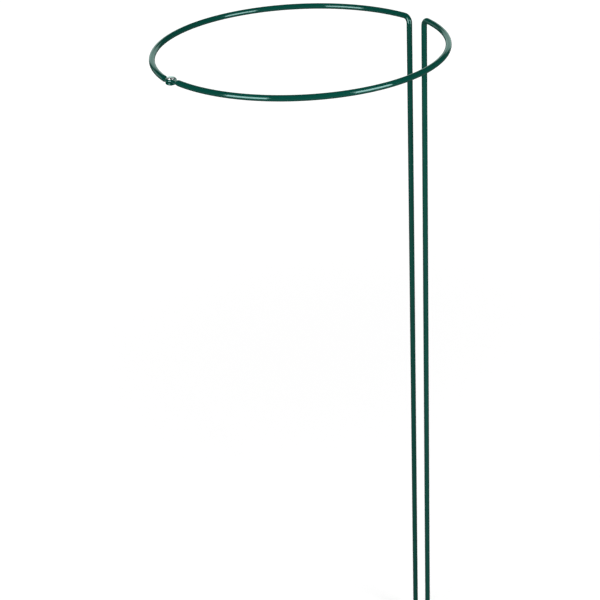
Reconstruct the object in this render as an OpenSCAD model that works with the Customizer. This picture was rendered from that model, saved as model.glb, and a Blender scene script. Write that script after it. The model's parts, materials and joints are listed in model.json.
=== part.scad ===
// Hinged plant support ring on two legs.
// Two coated steel wires mirror each other. Each one is a straight leg, a tight bend and half of the ring,
// and ends in a flattened pad. The front pad lies on the back pad, and a rivet through both is the hinge,
// so the ring opens to go round a plant.
// +Z is up and the ring's axis is the Z axis. The legs are on the +Y side, the rivet is on the -Y side,
// the back wire is on the -X side and the front wire on the +X side. The back leg's tip is at height zero.

/* [Ring] */
// Radius of the ring, from its axis to the middle of the wire
ring_r = 147; // [110:1:220]
// Distance between the two legs, from middle to middle
leg_gap = 25; // [18:0.5:60]

/* [Leg] */
// Height of a half ring above its leg's tip, to the middle of the wire
leg_h = 794; // [300:1:1200]
// Radius of the bend from the ring into the leg, to the middle of the wire
bend_r = 7; // [6:0.5:20]
// Radius of the rounded edge at the leg's tip
tip_edge_r = 1.5; // [0.5:0.1:1.5]
// Thickness of the coat under the wire's cut end
tip_coat_t = 1; // [0.8:0.1:2]

/* [Wire] */
// Diameter of the steel wire inside the coat
core_d = 5; // [3:0.1:7]
// Thickness of the plastic coat round the wire
coat_t = 0.5; // [0.3:0.05:0.8]

/* [Hinge pads] */
// Diameter of the pad's round end, in steel
pad_d = 10; // [8:0.1:14]
// Thickness of the pad, in steel
pad_t = 1.8; // [1:0.1:2.4]
// Gap between the end of one coated pad and the shoulder of the other wire
shoulder_gap = 5; // [1:0.1:8]
// Length of the slope from the pad's face up to the round wire
slope_l = 3; // [1.5:0.1:6]

/* [Rivet] */
// Diameter of the rivet's shank
shank_d = 4; // [2.5:0.1:5]
// Diameter of the rivet's flat head
head_d = 8; // [6:0.1:12]
// Thickness of the rivet's flat head
head_t = 0.9; // [0.6:0.1:2]
// Radius of the rounded edge of the rivet's head
head_edge_r = 0.4; // [0.1:0.1:0.5]
// Diameter of the rivet's closed end under the pads
tail_d = 7; // [5.5:0.1:10]
// Height of the domed closed end
tail_t = 1.4; // [0.8:0.1:2.5]
// Radial clearance of the shank in the front pad, which turns on it
turn_clearance = 0.05; // [0.01:0.01:0.1]
// Play along the rivet at each of the front pad's faces
end_play = 0.1; // [0.05:0.05:0.3]

/* [Hidden] */
$fn = 96;

coat_green = "#17503f";
steel_grey = "#8d9296";
rivet_silver = "#d3d6d8";

// Length by which a cutting shape passes the solid that it cuts
overrun = 1;
// Half widths of the pad's neck at the rivet and inside the wire, as shares of the pad's and the wire's radius
neck_pad_share = 0.9;
neck_wire_share = 0.5;
// Radius at the wide end of the slope, as a share of the wire's radius
slope_wide_share = 0.94;
// Radius at the narrow end of the slope, sunk in the pad, as a share of half the pad's thickness
slope_sunk_share = 0.5;

wire_d = core_d + coat_t + coat_t;
coated_pad_t = pad_t + coat_t + coat_t;
// Step from the back pad up to the front pad, and so from the back half ring up to the front one
half_step = coated_pad_t + end_play;

// The rivet stands on the ring's centre line, and these places are distances from its axis along the wire
rivet_y = -ring_r;
slope_start = pad_d / 2 + coat_t + shoulder_gap;
slope_end = slope_start + slope_l;

// The round wire's arc starts where the slope ends, and stops where the bend brings the leg to half the gap
arc_start = asin(slope_end / ring_r) - 90;
arc_end = acos(leg_gap / 2 / norm([ring_r, bend_r])) - atan(bend_r / ring_r);

// Straight part of a leg, from the bend to the tip
straight_l = leg_h - bend_r;

// Coated leg, from the bend's end at height zero up to a rounded tip
module leg_outside() {
    r = wire_d / 2;
    tip_start = straight_l - tip_edge_r;
    rotate_extrude() {
        square([r, tip_start]);
        translate([0, tip_start]) {
            square([r - tip_edge_r, tip_edge_r]);
            intersection() {
                translate([r - tip_edge_r, 0])
                    circle(r = tip_edge_r);
                square([r, tip_edge_r]);
            }
        }
    }
}

// Bare leg, whose cut end stays inside the coat
module leg_inside() {
    cylinder(d = core_d, h = straight_l - tip_coat_t);
}

// Round wire of half the ring, its bend and its leg, grown all round by skin.
// The ring's middle plane is at height zero, and the bend starts on the +X axis.
module bent_wire(skin) {
    r = core_d / 2 + skin;
    mirror([0, 1, 0])
        rotate_extrude(angle = arc_end - arc_start)
            translate([ring_r, 0])
                circle(r = r);
    translate([ring_r, 0, -bend_r])
        rotate([90, 0, 90])
            rotate_extrude(angle = 90)
                translate([bend_r, 0])
                    circle(r = r);
    translate([ring_r, bend_r, -bend_r])
        mirror([0, 0, 1])
            if (skin > 0)
                leg_outside();
            else
                leg_inside();
}

// Round slope from the wire down into the pad, along -Y from the +X axis where the wire ends
module slope(skin) {
    wide_r = (core_d / 2 + skin) * slope_wide_share;
    face = pad_t / 2 + skin;
    sunk_r = face * slope_sunk_share;
    sunk_l = slope_l * (wide_r - sunk_r) / (wide_r - face);
    translate([ring_r, 0, 0])
        rotate([90, 0, 0])
            rotate_extrude()
                polygon([
                    [0, -overrun],
                    [wide_r, -overrun],
                    [wide_r, 0],
                    [sunk_r, sunk_l],
                    [0, sunk_l],
                ]);
}

// Flat pad round the rivet, with a neck that narrows into the wire
module pad(skin) {
    t = pad_t + skin + skin;
    pad_half_w = (pad_d / 2 + skin) * neck_pad_share;
    wire_half_w = (core_d / 2 + skin) * neck_wire_share;
    translate([0, rivet_y, 0]) {
        cylinder(d = pad_d + skin + skin, h = t, center = true);
        linear_extrude(height = t, center = true)
            polygon([
                [0, pad_half_w],
                [slope_end + overrun, wire_half_w],
                [slope_end + overrun, -wire_half_w],
                [0, -pad_half_w],
            ]);
    }
}

// Half of the ring on the +X side with its leg and its pad, standing on the leg's tip
module half_wire(skin) {
    translate([0, 0, leg_h]) {
        rotate([0, 0, arc_end])
            bent_wire(skin);
        rotate([0, 0, arc_start])
            slope(skin);
        pad(skin);
    }
}

// Hole for the rivet through a half's pad
module rivet_hole(d) {
    translate([0, rivet_y, leg_h])
        cylinder(d = d, h = coated_pad_t + coated_pad_t, center = true);
}

module steel_half(hole_d) {
    difference() {
        half_wire(0);
        rivet_hole(hole_d);
    }
}

module coat_half(hole_d) {
    difference() {
        half_wire(coat_t);
        half_wire(0);
        rivet_hole(hole_d);
    }
}

// Puts a shape that is made as the front half where the back half lies
module as_back() {
    mirror([1, 0, 0])
        children();
}

// Lifts the front half so that its pad lies on the back pad
module as_front() {
    translate([0, 0, half_step])
        children();
}

module back_core() {
    color(steel_grey)
        as_back()
            steel_half(shank_d);
}

module back_coat() {
    color(coat_green)
        as_back()
            coat_half(shank_d);
}

module front_core() {
    color(steel_grey)
        as_front()
            steel_half(shank_d + turn_clearance + turn_clearance);
}

module front_coat() {
    color(coat_green)
        as_front()
            coat_half(shank_d + turn_clearance + turn_clearance);
}

// Flat head on the front pad, shank through both pads and a dome closed under the back pad
module hinge_rivet() {
    back_face = leg_h - coated_pad_t / 2;
    head_face = leg_h + half_step + coated_pad_t / 2 + end_play;
    dome_r = (pow(tail_d / 2, 2) + pow(tail_t, 2)) / (tail_t + tail_t);
    color(rivet_silver)
        translate([0, rivet_y, 0]) {
            translate([0, 0, back_face])
                cylinder(d = shank_d, h = head_face - back_face);
            translate([0, 0, head_face])
                rotate_extrude() {
                    square([head_d / 2, head_t - head_edge_r]);
                    square([head_d / 2 - head_edge_r, head_t]);
                    translate([head_d / 2 - head_edge_r, head_t - head_edge_r])
                        intersection() {
                            circle(r = head_edge_r);
                            square(head_edge_r);
                        }
                }
            intersection() {
                translate([0, 0, back_face - tail_t + dome_r])
                    sphere(r = dome_r);
                translate([0, 0, back_face - tail_t])
                    cylinder(d = tail_d, h = tail_t);
            }
        }
}

back_core();
back_coat();
front_core();
front_coat();
hinge_rivet();
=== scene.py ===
import json
import math

import bmesh
import bpy
from mathutils import Matrix, Vector


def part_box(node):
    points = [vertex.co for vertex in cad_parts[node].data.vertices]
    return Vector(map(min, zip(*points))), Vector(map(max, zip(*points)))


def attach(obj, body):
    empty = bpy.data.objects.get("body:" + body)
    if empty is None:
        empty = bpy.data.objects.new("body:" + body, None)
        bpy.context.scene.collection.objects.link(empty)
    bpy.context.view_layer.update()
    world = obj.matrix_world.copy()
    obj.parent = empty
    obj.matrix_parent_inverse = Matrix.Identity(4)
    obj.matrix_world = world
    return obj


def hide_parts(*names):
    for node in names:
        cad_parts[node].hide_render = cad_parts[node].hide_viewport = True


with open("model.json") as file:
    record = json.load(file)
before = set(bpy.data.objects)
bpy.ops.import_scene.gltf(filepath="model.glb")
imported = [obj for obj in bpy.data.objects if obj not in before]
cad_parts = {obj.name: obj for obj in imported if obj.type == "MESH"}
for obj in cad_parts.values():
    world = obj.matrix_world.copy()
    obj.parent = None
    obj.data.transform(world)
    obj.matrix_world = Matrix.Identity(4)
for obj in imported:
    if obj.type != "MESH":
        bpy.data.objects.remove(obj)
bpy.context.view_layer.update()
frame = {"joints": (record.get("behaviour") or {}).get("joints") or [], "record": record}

# Hinged plant support ring: two bent steel wires in green plastic coats, riveted together at their pads.
# Everything is in metres in the part's own frame: +Z up, ring's axis on the Z axis, legs on the +Y side.
MM = 0.001
UP = Vector((0, 0, 1))

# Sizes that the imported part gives
hinge = Vector(frame["joints"][0]["pos_m"])
front_leg = {m["name"]: m for m in frame["record"]["mounts"]}["front_leg"]
leg_at = Vector(front_leg["pos_m"][:2])
WIRE_R = front_leg["dims"]["r_mm"] * MM
RING_R = -hinge.y
BEND_R = math.sqrt(leg_at.length_squared - RING_R ** 2)
BACK_LOW, BACK_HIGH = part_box("back_coat")
FRONT_LOW, FRONT_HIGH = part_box("front_coat")
BACK_Z = BACK_HIGH.z - WIRE_R
FRONT_Z = FRONT_HIGH.z - WIRE_R
LEG_H = BACK_Z - BACK_LOW.z
PAD_R = -RING_R - FRONT_LOW.y
HEAD_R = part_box("hinge_rivet")[1].x

# Sizes repeated from the part's source. The slope from pad to wire is measured from the rivet's axis.
COAT_T = 0.5 * MM
END_PLAY = 0.1 * MM
PAD_T = FRONT_Z - BACK_Z - END_PLAY
SLOPE_START = 10.5 * MM
SLOPE_END = 13.5 * MM
TIP_EDGE_R = 1.5 * MM
SHANK_R = 2 * MM
HOLE_R = 2.05 * MM
HEAD_T = 0.9 * MM
HEAD_EDGE_R = 0.4 * MM
TAIL_R = 3.5 * MM
TAIL_T = 1.4 * MM

# Finishes that only this script has: the neck's width, how sharply the round pad runs into the neck,
# and the setting tool's dimple
NECK_HALF_W = 2.8 * MM
NECK_BLEND = 7
DIMPLE_R = 0.8 * MM
DIMPLE_DEPTH = 0.35 * MM

# The ring's arc is measured from +X; the rivet is at minus a quarter turn
RIVET_TURN = -math.pi / 2
ARC_START = RIVET_TURN + SLOPE_END / RING_R
ARC_END = math.atan2(leg_at.y, leg_at.x) - math.atan2(BEND_R, RING_R)

# Fineness of the meshes
SIDES = 48
TIP_STEPS = 16
NECK_STEPS = 24
ARC_STEPS = 110
BEND_STEPS = 20
LEG_STEPS = 20
EDGE_STEPS = 6
RIVET_STEPS = 72
MERGE_DISTANCE = 0.001 * MM
SHARP_FROM = math.radians(50)

# Colours, in pairs of the dark and the light end where a pattern mixes them
GREENS = ("#033a31", "#05453a")
GREEN_GLINT = "#bff0ec"
STEEL_GREYS = ("#7d8286", "#a3a7aa")
SILVERS = ("#e6e8e9", "#f4f5f5")
WHITE = "#ffffff"
ROOM_TINT = "#e4fff7"
FLOOR_GREY = "#5c5c5c"
FLOOR_PALE = "#e6e6e6"

# Sizes of the patterns in millimetres. Real orange peel, die marks, scuffs and ring marks are 1 mm or less,
# which is one pixel of the picture, so they are drawn as coarse as these sizes say.
GREEN_PATCH = 30
HAZE_PATCH = 9
ORANGE_PEEL = 4
DIE_MARK = 1.2
SCUFF = 1.5
RING_MARK = 4.4

# Distance between the rings of a wave texture at scale 1
WAVE_SPACING = 2 * math.pi / 20

# Sockets of a Mix node that mixes colours
SHARE, FIRST, SECOND, MIXED = 0, 6, 7, 2

# Camera, as fitted to the wire in the photograph
CAMERA_AT = Vector((1.1778, -0.7683, 1.2559))
CAMERA_TURN = math.radians(57.4)
CAMERA_DOWN = math.radians(27.853)
CAMERA_ROLL = math.radians(2.933)
CAMERA_LENS = 88.13

# Level directions away from the camera and to its right, and the point that the softboxes face
AWAY = Vector((-math.sin(CAMERA_TURN), math.cos(CAMERA_TURN), 0))
SIDEWAYS = Vector((math.cos(CAMERA_TURN), math.sin(CAMERA_TURN), 0))
RING_CENTRE = Vector((0, 0, BACK_Z))

# Both softboxes: angle above the ring in degrees, as seen from its centre, and brightness
SOFTBOX_UP = 6
SOFTBOX_RADIANCE = 6.2

# Soft light on the object from straight above, straight below, behind the ring and the camera's side
FILL_ABOVE = 0.4
FILL_BELOW = 0.03
FILL_BEHIND = 1.1
FILL_FRONT = 0.5

# What shiny surfaces mirror: a backdrop behind the ring, a weaker screen at its left and a dim room.
# Turns are in degrees from straight behind the ring to the right, heights are a direction's upward part,
# and the screens fade out over the two soft edges.
BACKDROP = 0.84
BACKDROP_TURNS = (-22, 28)
BACKDROP_HEIGHTS = (-0.15, 0.33)
SIDE_SCREEN = 0.5
SIDE_TURNS = (-56, -42)
SIDE_HEIGHTS = (-0.3, 0.14)
SOFT_TURN = math.radians(9)
SOFT_HEIGHT = 0.07
ROOM_DIM = 0.02

# Floor. Far from the ring the lamps light it less, so there it glows more for the camera and stays white:
# the glow goes from the first to the second value between the two distances from the ring's axis.
FLOOR_R = 4.5
FLOOR_SIDES = 64
FLOOR_GLOW = (0.18, 0.52)
GLOW_FROM = (0.2, 2.2)


def smooth_share(start, end, x):
    """Share from 0 at start to 1 at end, with level ends."""
    t = min(max((x - start) / (end - start), 0), 1)
    return t * t * (3 - 2 * t)


def half_width(s, inset):
    """Half the wire's width at distance s from the rivet: round pad, neck, then round wire."""
    eye = math.sqrt(max((PAD_R - inset) ** 2 - s ** 2, 0))
    if s < 0:
        return eye
    neck = NECK_HALF_W + (WIRE_R - NECK_HALF_W) * smooth_share(SLOPE_START, SLOPE_END, s) - inset
    return (eye ** NECK_BLEND + neck ** NECK_BLEND) ** (1 / NECK_BLEND)


def half_thickness(s, inset):
    """Half the wire's thickness at distance s from the rivet, rounded off at the pad's tip."""
    flat = PAD_T / 2 - inset
    from_tip = s + PAD_R - inset
    if from_tip < flat:
        return math.sqrt(flat ** 2 - (flat - from_tip) ** 2)
    return flat + (WIRE_R - inset - flat) * smooth_share(SLOPE_START, SLOPE_END, s)


def pressed_point(turn, half_w, half_t, pressed):
    """Point of a section at an angle round the wire: ellipse at pressed 0, flat with round edges at 1."""
    across, up = math.cos(turn), math.sin(turn)
    quarter = math.atan2(abs(up), abs(across))
    if quarter < math.pi / 4:
        flat_x = half_w - half_t + half_t * math.cos(2 * quarter)
        flat_z = half_t * math.sin(2 * quarter)
    else:
        flat_x = (half_w - half_t) * (2 - quarter * 4 / math.pi)
        flat_z = half_t
    x = (1 - pressed) * half_w * across + pressed * math.copysign(flat_x, across)
    z = (1 - pressed) * half_t * up + pressed * math.copysign(flat_z, up)
    return x, z


def place_section(verts, turn_layer, s, inset):
    """Lays a loop of points round the wire at distance s from the rivet."""
    half_w = half_width(s, inset)
    half_t = half_thickness(s, inset)
    pressed = 1 - smooth_share(SLOPE_START, SLOPE_END, s)
    along = RIVET_TURN + s / RING_R
    for v in verts:
        x, z = pressed_point(v[turn_layer], half_w, half_t, pressed)
        v.co = ((RING_R + x) * math.cos(along), (RING_R + x) * math.sin(along), z)


def edges_of(geom):
    """Edges among what an operator made."""
    return [g for g in geom if isinstance(g, bmesh.types.BMEdge)]


def verts_of(geom):
    """Vertices among what an operator made."""
    return [g for g in geom if isinstance(g, bmesh.types.BMVert)]


def spin_on(bm, loop, axis, angle, steps, cent=Vector(), dvec=Vector()):
    """Carries an open loop on along an arc or a straight line and returns the loop at its end."""
    made = bmesh.ops.spin(bm, geom=loop, axis=axis, angle=angle, steps=steps, cent=cent, dvec=dvec)
    return edges_of(made["geom_last"])


def pad_and_neck(bm, inset):
    """Makes the skin of the pad and its neck and returns the open loop where the round wire starts."""
    turn_layer = bm.verts.layers.float.new("turn")
    tip = bmesh.ops.create_circle(bm, cap_ends=True, segments=SIDES, radius=1)["verts"]
    for v in tip:
        v[turn_layer] = math.atan2(v.co.y, v.co.x)
    tip_turns = [math.pi / 2 * (i + 1) / TIP_STEPS for i in range(TIP_STEPS)]
    stations = [-(PAD_R - inset) * math.cos(a) for a in tip_turns]
    stations += [SLOPE_END * (i + 1) / NECK_STEPS for i in range(NECK_STEPS)]
    place_section(tip, turn_layer, stations[0], inset)
    loop = list(bm.edges)
    for s in stations[1:]:
        made = bmesh.ops.extrude_edge_only(bm, edges=loop)["geom"]
        place_section(verts_of(made), turn_layer, s, inset)
        loop = [e for e in edges_of(made) if len(e.link_faces) == 1]
    return loop


def half_wire(inset):
    """Skin of the half on the +X side, from pad to leg tip, with the wire's middle at height 0."""
    bm = bmesh.new()
    loop = pad_and_neck(bm, inset)
    loop = spin_on(bm, loop, UP, ARC_END - ARC_START, ARC_STEPS)
    outward = Vector((math.cos(ARC_END), math.sin(ARC_END), 0))
    bend_at = outward * RING_R - UP * BEND_R
    loop = spin_on(bm, loop, outward, -math.pi / 2, BEND_STEPS, cent=bend_at)
    leg_step = -UP * ((LEG_H - BEND_R - inset) / LEG_STEPS)
    loop = spin_on(bm, loop, UP, 0, LEG_STEPS, dvec=leg_step)
    bmesh.ops.edgeloop_fill(bm, edges=loop)
    bmesh.ops.bevel(bm, geom=loop, offset=TIP_EDGE_R, offset_type="OFFSET", segments=EDGE_STEPS,
                    profile=0.5, affect="EDGES", material=-1)
    bmesh.ops.recalc_face_normals(bm, faces=bm.faces)
    return bm


def cut_eyelet(bm):
    """Opens the rivet's hole through both faces of the pad and returns the edges of the two rims."""
    axis = Vector((0, -RING_R))
    rim_limit = (PAD_R + HOLE_R) / 2

    def from_axis(point):
        return (point.xy - axis).length

    inside = [f for f in bm.faces if from_axis(f.calc_center_median()) < HOLE_R]
    bmesh.ops.delete(bm, geom=inside, context="FACES")
    rims = [e for e in bm.edges if e.is_boundary and from_axis(e.verts[0].co) < rim_limit]
    for v in {v for e in rims for v in e.verts}:
        v.co.xy = axis + (v.co.xy - axis).normalized() * HOLE_R
    return rims


def lay_half(bm, height, mirrored):
    """Puts a half at its height, and on the other side of the ring if it is the mirrored one."""
    if mirrored:
        bmesh.ops.scale(bm, vec=(-1, 1, 1), verts=bm.verts)
        bmesh.ops.reverse_faces(bm, faces=bm.faces)
    bmesh.ops.translate(bm, vec=(0, 0, height), verts=bm.verts)


def new_object(bm, name, material):
    """Makes an object of a bmesh, at the origin and with its place in its mesh."""
    mesh = bpy.data.meshes.new(name)
    bm.to_mesh(mesh)
    bm.free()
    mesh.materials.append(material)
    made = bpy.data.objects.new(name, mesh)
    bpy.context.scene.collection.objects.link(made)
    return made


def finish_piece(bm, name, body, material):
    """Makes a smooth-shaded piece of a bmesh and lets it ride on a body."""
    piece = new_object(bm, name, material)
    piece.data.shade_smooth()
    piece.data.set_sharp_from_angle(angle=SHARP_FROM)
    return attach(piece, body)


def make_coat(name, body, node, height, mirrored, material):
    """Plastic coat: the wire's outer skin with the rivet's hole, given its thickness inwards."""
    bm = half_wire(0)
    cut_eyelet(bm)
    lay_half(bm, height, mirrored)
    coat = finish_piece(bm, name, body, material)
    wall = coat.modifiers.new("coat thickness", "SOLIDIFY")
    wall.thickness = COAT_T
    wall.offset = -1
    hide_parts(node)


def make_wire(name, body, node, height, mirrored, material):
    """Steel wire inside the coat, with the rivet's hole through its pad."""
    bm = half_wire(COAT_T)
    bmesh.ops.bridge_loops(bm, edges=cut_eyelet(bm))
    bmesh.ops.recalc_face_normals(bm, faces=bm.faces)
    lay_half(bm, height, mirrored)
    wire = finish_piece(bm, name, body, material)
    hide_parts(node)


def line_to(bm, start, r, z):
    """Carries the rivet's outline on in a straight line to a distance from its axis and a height."""
    end = bm.verts.new((r, -RING_R, z))
    bm.edges.new((start, end))
    return end


def arc_on(bm, start, r, z, turn):
    """Carries the rivet's outline on along an arc about a point on or beside its axis."""
    made = bmesh.ops.spin(bm, geom=[start], axis=(0, 1, 0), cent=(r, -RING_R, z), angle=turn,
                          steps=EDGE_STEPS)
    return verts_of(made["geom_last"])[0]


def make_rivet(material):
    """Rivet with a flat head, a shank through both pads and a domed end with the setting tool's dimple."""
    pad_top = FRONT_Z + PAD_T / 2 + END_PLAY
    head_top = pad_top + HEAD_T
    pad_bottom = BACK_Z - PAD_T / 2
    dome_r = (TAIL_R ** 2 + TAIL_T ** 2) / (2 * TAIL_T)
    dome_turn = math.asin(TAIL_R / dome_r) - math.asin(DIMPLE_R / dome_r)
    bm = bmesh.new()
    at = bm.verts.new((0, -RING_R, head_top))
    at = line_to(bm, at, HEAD_R - HEAD_EDGE_R, head_top)
    at = arc_on(bm, at, HEAD_R - HEAD_EDGE_R, head_top - HEAD_EDGE_R, math.pi / 2)
    at = line_to(bm, at, HEAD_R, pad_top)
    at = line_to(bm, at, SHANK_R, pad_top)
    at = line_to(bm, at, SHANK_R, pad_bottom)
    at = line_to(bm, at, TAIL_R, pad_bottom)
    at = arc_on(bm, at, 0, pad_bottom - TAIL_T + dome_r, dome_turn)
    line_to(bm, at, 0, pad_bottom - TAIL_T + DIMPLE_DEPTH)
    bmesh.ops.spin(bm, geom=list(bm.edges), axis=UP, cent=(0, -RING_R, 0), angle=2 * math.pi,
                   steps=RIVET_STEPS, use_merge=True)
    bmesh.ops.remove_doubles(bm, verts=bm.verts, dist=MERGE_DISTANCE)
    bmesh.ops.recalc_face_normals(bm, faces=bm.faces)
    rivet = finish_piece(bm, "rivet", "back_half", material)
    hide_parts("hinge_rivet")


def linear(hex_colour):
    """Linear RGBA of an sRGB hex colour."""
    channels = [int(hex_colour[i:i + 2], 16) / 255 for i in (1, 3, 5)]
    return [c / 12.92 if c <= 0.04045 else ((c + 0.055) / 1.055) ** 2.4 for c in channels] + [1]


def per(size_mm):
    """Texture scale at which one feature is that many millimetres across."""
    return 1 / (size_mm * MM)


def add_node(tree, kind, inputs=None, **settings):
    """Adds a node with its settings, and sets or links its inputs."""
    made = tree.nodes.new(kind)
    for name, value in settings.items():
        setattr(made, name, value)
    for socket, value in (inputs or {}).items():
        if isinstance(value, bpy.types.NodeSocket):
            tree.links.new(value, made.inputs[socket])
        else:
            made.inputs[socket].default_value = value
    return made


def new_material(name):
    """Material with its node tree, its Principled shader and the piece's Object coordinates."""
    material = bpy.data.materials.new(name)
    material.use_nodes = True
    tree = material.node_tree
    place = add_node(tree, "ShaderNodeTexCoord").outputs["Object"]
    return material, tree, tree.nodes["Principled BSDF"], place


def glossy_pvc():
    """Extruded PVC coat: smooth and shiny, with faint orange peel and slow changes in its green."""
    material, tree, shader, place = new_material("glossy_green_pvc")
    patches = add_node(tree, "ShaderNodeTexNoise",
                       {"Vector": place, "Scale": per(GREEN_PATCH), "Detail": 3})
    green = add_node(tree, "ShaderNodeMix",
                     {SHARE: patches.outputs["Fac"], FIRST: linear(GREENS[0]), SECOND: linear(GREENS[1])},
                     data_type="RGBA")
    haze = add_node(tree, "ShaderNodeTexNoise", {"Vector": place, "Scale": per(HAZE_PATCH), "Detail": 4})
    rough = add_node(tree, "ShaderNodeMapRange",
                     {"Value": haze.outputs["Fac"], "From Min": 0.3, "From Max": 0.7,
                      "To Min": 0.06, "To Max": 0.12})
    peel = add_node(tree, "ShaderNodeTexNoise", {"Vector": place, "Scale": per(ORANGE_PEEL), "Detail": 2})
    bump = add_node(tree, "ShaderNodeBump",
                    {"Height": peel.outputs["Fac"], "Strength": 0.25, "Distance": 0.08 * MM})
    tree.links.new(green.outputs[MIXED], shader.inputs["Base Color"])
    tree.links.new(rough.outputs[0], shader.inputs["Roughness"])
    tree.links.new(bump.outputs[0], shader.inputs["Normal"])
    shader.inputs["IOR"].default_value = 1.53
    # Twice the usual level, and a green tint, to match the streaks on the coat in the photograph
    shader.inputs["Specular IOR Level"].default_value = 1
    shader.inputs["Specular Tint"].default_value = linear(GREEN_GLINT)
    return material


def drawn_steel():
    """Drawn steel wire: grey metal with fine scratches and dull patches left by the die."""
    material, tree, shader, place = new_material("drawn_steel")
    marks = add_node(tree, "ShaderNodeTexNoise", {"Vector": place, "Scale": per(DIE_MARK), "Detail": 6})
    grey = add_node(tree, "ShaderNodeMix",
                    {SHARE: marks.outputs["Fac"], FIRST: linear(STEEL_GREYS[0]),
                     SECOND: linear(STEEL_GREYS[1])},
                    data_type="RGBA")
    rough = add_node(tree, "ShaderNodeMapRange",
                     {"Value": marks.outputs["Fac"], "To Min": 0.28, "To Max": 0.48})
    tree.links.new(grey.outputs[MIXED], shader.inputs["Base Color"])
    tree.links.new(rough.outputs[0], shader.inputs["Roughness"])
    shader.inputs["Metallic"].default_value = 1
    return material


def headed_aluminium():
    """Cold-headed aluminium: smooth flat face with a faint ring and scuffs, dull round its edge."""
    material, tree, shader, place = new_material("headed_aluminium")
    centred = add_node(tree, "ShaderNodeMapping", {"Vector": place, "Location": (0, RING_R, 0)})
    rings = add_node(tree, "ShaderNodeTexWave",
                     {"Vector": centred.outputs[0], "Scale": WAVE_SPACING * per(RING_MARK),
                      "Distortion": 0.6, "Detail": 2},
                     wave_type="RINGS", rings_direction="Z")
    scuffs = add_node(tree, "ShaderNodeTexNoise", {"Vector": place, "Scale": per(SCUFF), "Detail": 5})
    silver = add_node(tree, "ShaderNodeMix",
                      {SHARE: scuffs.outputs["Fac"], FIRST: linear(SILVERS[0]), SECOND: linear(SILVERS[1])},
                      data_type="RGBA")
    face = add_node(tree, "ShaderNodeNewGeometry").outputs["Normal"]
    facing_up = add_node(tree, "ShaderNodeSeparateXYZ", {0: face}).outputs["Z"]
    edge = add_node(tree, "ShaderNodeMapRange",
                    {"Value": facing_up, "From Min": 0.5, "From Max": 0.98, "To Min": 0.3, "To Max": 0})
    scuffed = add_node(tree, "ShaderNodeMapRange",
                       {"Value": scuffs.outputs["Fac"], "To Min": 0.06, "To Max": 0.18})
    rough = add_node(tree, "ShaderNodeMath", {0: edge.outputs[0], 1: scuffed.outputs[0]}, operation="ADD")
    bump = add_node(tree, "ShaderNodeBump",
                    {"Height": rings.outputs["Fac"], "Strength": 0.2, "Distance": 0.02 * MM})
    tree.links.new(silver.outputs[MIXED], shader.inputs["Base Color"])
    tree.links.new(rough.outputs[0], shader.inputs["Roughness"])
    tree.links.new(bump.outputs[0], shader.inputs["Normal"])
    shader.inputs["Metallic"].default_value = 1
    return material


def aim_camera():
    """Camera at the photograph's viewing angle."""
    camera_data = bpy.data.cameras.new("camera")
    camera_data.lens = CAMERA_LENS
    camera = bpy.data.objects.new("camera", camera_data)
    turned = Matrix.Rotation(CAMERA_TURN, 4, "Z")
    tipped = Matrix.Rotation(math.pi / 2 - CAMERA_DOWN, 4, "X")
    rolled = Matrix.Rotation(-CAMERA_ROLL, 4, "Z")
    camera.matrix_world = Matrix.Translation(CAMERA_AT) @ turned @ tipped @ rolled
    bpy.context.scene.collection.objects.link(camera)
    bpy.context.scene.camera = camera


def softbox(name, turn_deg, distance, width, height):
    """Area lamp that faces the ring, turned round it from the camera's side towards the camera's right."""
    turn, up = math.radians(turn_deg), math.radians(SOFTBOX_UP)
    level = -AWAY * math.cos(turn) + SIDEWAYS * math.sin(turn)
    towards = level * math.cos(up) + UP * math.sin(up)
    light = bpy.data.lights.new(name, "AREA")
    light.shape = "RECTANGLE"
    light.size = width
    light.size_y = height
    light.energy = SOFTBOX_RADIANCE * width * height * math.pi
    lamp = bpy.data.objects.new(name, light)
    lamp.location = RING_CENTRE + towards * distance
    lamp.rotation_euler = towards.to_track_quat("Z", "Y").to_euler()
    lamp.visible_camera = False
    bpy.context.scene.collection.objects.link(lamp)


def band(tree, value, low, high, soft):
    """Share that is 1 where a value is between low and high and fades to 0 over a soft edge outside."""
    rise = add_node(tree, "ShaderNodeMapRange",
                    {"Value": value, "From Min": low - soft, "From Max": low},
                    interpolation_type="SMOOTHSTEP")
    fall = add_node(tree, "ShaderNodeMapRange",
                    {"Value": value, "From Min": high + soft, "From Max": high},
                    interpolation_type="SMOOTHSTEP")
    return add_node(tree, "ShaderNodeMath", {0: rise.outputs[0], 1: fall.outputs[0]},
                    operation="MULTIPLY").outputs[0]


def screen(tree, turn, height, turns_deg, heights, brightness):
    """Brightness of a soft-edged screen that fills a range of turns and a range of heights."""
    across = band(tree, turn, math.radians(turns_deg[0]), math.radians(turns_deg[1]), SOFT_TURN)
    up = band(tree, height, heights[0], heights[1], SOFT_HEIGHT)
    share = add_node(tree, "ShaderNodeMath", {0: across, 1: up}, operation="MULTIPLY")
    return add_node(tree, "ShaderNodeMath", {0: share.outputs[0], 1: brightness},
                    operation="MULTIPLY").outputs[0]


def mirrored_room(tree, behind, beside, height):
    """Brightness that shiny surfaces see: the backdrop, the side screen and the dim room round them."""
    turn = add_node(tree, "ShaderNodeMath", {0: beside, 1: behind}, operation="ARCTAN2").outputs[0]
    backdrop = screen(tree, turn, height, BACKDROP_TURNS, BACKDROP_HEIGHTS, BACKDROP)
    side_screen = screen(tree, turn, height, SIDE_TURNS, SIDE_HEIGHTS, SIDE_SCREEN)
    screens = add_node(tree, "ShaderNodeMath", {0: backdrop, 1: side_screen}, operation="ADD")
    return add_node(tree, "ShaderNodeMath", {0: screens.outputs[0], 1: ROOM_DIM},
                    operation="ADD").outputs[0]


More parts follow.
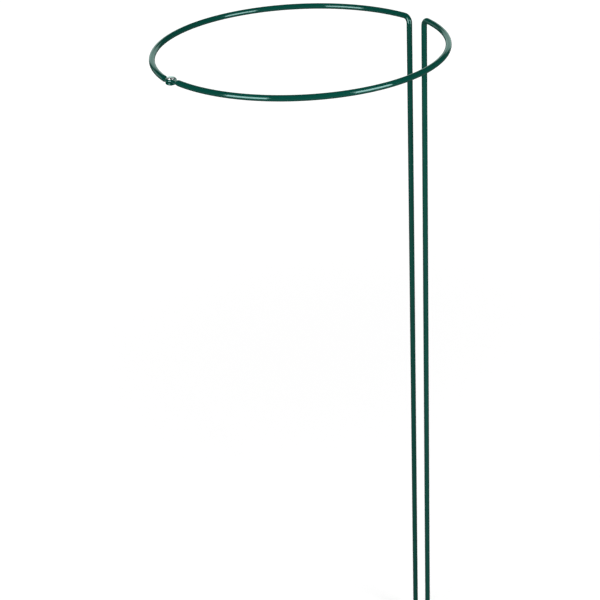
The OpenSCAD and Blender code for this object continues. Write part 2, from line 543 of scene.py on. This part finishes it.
def soft_fill(tree, behind, height):
    """Brightness that matt surfaces see: light from above, returned from behind and from the front."""
    overhead = add_node(tree, "ShaderNodeMapRange",
                        {"Value": height, "From Min": -1, "To Min": FILL_BELOW, "To Max": FILL_ABOVE})
    returned = add_node(tree, "ShaderNodeMapRange", {"Value": behind, "To Max": FILL_BEHIND})
    front = add_node(tree, "ShaderNodeMapRange", {"Value": behind, "From Max": -1, "To Max": FILL_FRONT})
    level = add_node(tree, "ShaderNodeMath", {0: front.outputs[0], 1: returned.outputs[0]}, operation="ADD")
    return add_node(tree, "ShaderNodeMath", {0: overhead.outputs[0], 1: level.outputs[0]},
                    operation="ADD").outputs[0]


def studio_world():
    """World that is white to the camera, a studio to shiny surfaces and soft light to matt ones."""
    world = bpy.data.worlds.new("studio")
    world.use_nodes = True
    tree = world.node_tree
    tree.nodes.clear()
    rays = add_node(tree, "ShaderNodeLightPath").outputs
    direction = add_node(tree, "ShaderNodeTexCoord").outputs["Generated"]
    height = add_node(tree, "ShaderNodeSeparateXYZ", {0: direction}).outputs["Z"]
    behind = add_node(tree, "ShaderNodeVectorMath", {0: direction, 1: AWAY},
                      operation="DOT_PRODUCT").outputs["Value"]
    beside = add_node(tree, "ShaderNodeVectorMath", {0: direction, 1: SIDEWAYS},
                      operation="DOT_PRODUCT").outputs["Value"]
    shiny = add_node(tree, "ShaderNodeMath", {0: rays["Is Glossy Ray"], 1: rays["Is Transmission Ray"]},
                     operation="MAXIMUM")
    soft = soft_fill(tree, behind, height)
    room = mirrored_room(tree, behind, beside, height)
    fill = add_node(tree, "ShaderNodeBackground", {"Color": linear(WHITE), "Strength": soft})
    mirrored = add_node(tree, "ShaderNodeBackground", {"Color": linear(ROOM_TINT), "Strength": room})
    white = add_node(tree, "ShaderNodeBackground", {"Color": linear(WHITE), "Strength": 1})
    lit = add_node(tree, "ShaderNodeMixShader",
                   {0: shiny.outputs[0], 1: fill.outputs[0], 2: mirrored.outputs[0]})
    shown = add_node(tree, "ShaderNodeMixShader",
                     {0: rays["Is Camera Ray"], 1: lit.outputs[0], 2: white.outputs[0]})
    add_node(tree, "ShaderNodeOutputWorld", {"Surface": shown.outputs[0]})
    bpy.context.scene.world = world


def pale_floor():
    """Matt floor: white to the camera, with the legs' shadow on it, and plain grey to all other rays.

    The grey keeps the green clear, because the legs mirror the floor and a white one makes them hazy.
    """
    material, tree, shader, place = new_material("matt_floor")
    seen = add_node(tree, "ShaderNodeLightPath").outputs["Is Camera Ray"]
    from_axis = add_node(tree, "ShaderNodeVectorMath", {0: place}, operation="LENGTH").outputs["Value"]
    glow = add_node(tree, "ShaderNodeMapRange",
                    {"Value": from_axis, "From Min": GLOW_FROM[0], "From Max": GLOW_FROM[1],
                     "To Min": FLOOR_GLOW[0], "To Max": FLOOR_GLOW[1]})
    shown = add_node(tree, "ShaderNodeMath", {0: glow.outputs[0], 1: seen}, operation="MULTIPLY")
    colour = add_node(tree, "ShaderNodeMix",
                      {SHARE: seen, FIRST: linear(FLOOR_GREY), SECOND: linear(FLOOR_PALE)},
                      data_type="RGBA")
    tree.links.new(colour.outputs[MIXED], shader.inputs["Base Color"])
    tree.links.new(shown.outputs[0], shader.inputs["Emission Strength"])
    shader.inputs["Roughness"].default_value = 1
    shader.inputs["Specular IOR Level"].default_value = 0
    shader.inputs["Emission Color"].default_value = linear(WHITE)
    bm = bmesh.new()
    bmesh.ops.create_circle(bm, cap_ends=True, segments=FLOOR_SIDES, radius=FLOOR_R)
    bmesh.ops.translate(bm, vec=(0, 0, BACK_LOW.z), verts=bm.verts)
    new_object(bm, "floor", material)


pvc = glossy_pvc()
steel = drawn_steel()
make_coat("back_wire_coat", "back_half", "back_coat", BACK_Z, True, pvc)
make_coat("front_wire_coat", "front_half", "front_coat", FRONT_Z, False, pvc)
make_wire("back_wire", "back_half", "back_core", BACK_Z, True, steel)
make_wire("front_wire", "front_half", "front_core", FRONT_Z, False, steel)
make_rivet(headed_aluminium())

aim_camera()
softbox("left_softbox", turn_deg=-40, distance=1.8, width=1.0, height=1.4)
softbox("right_softbox", turn_deg=50, distance=1.2, width=0.6, height=0.93)
studio_world()
pale_floor()
bpy.context.scene.view_settings.view_transform = "Standard"
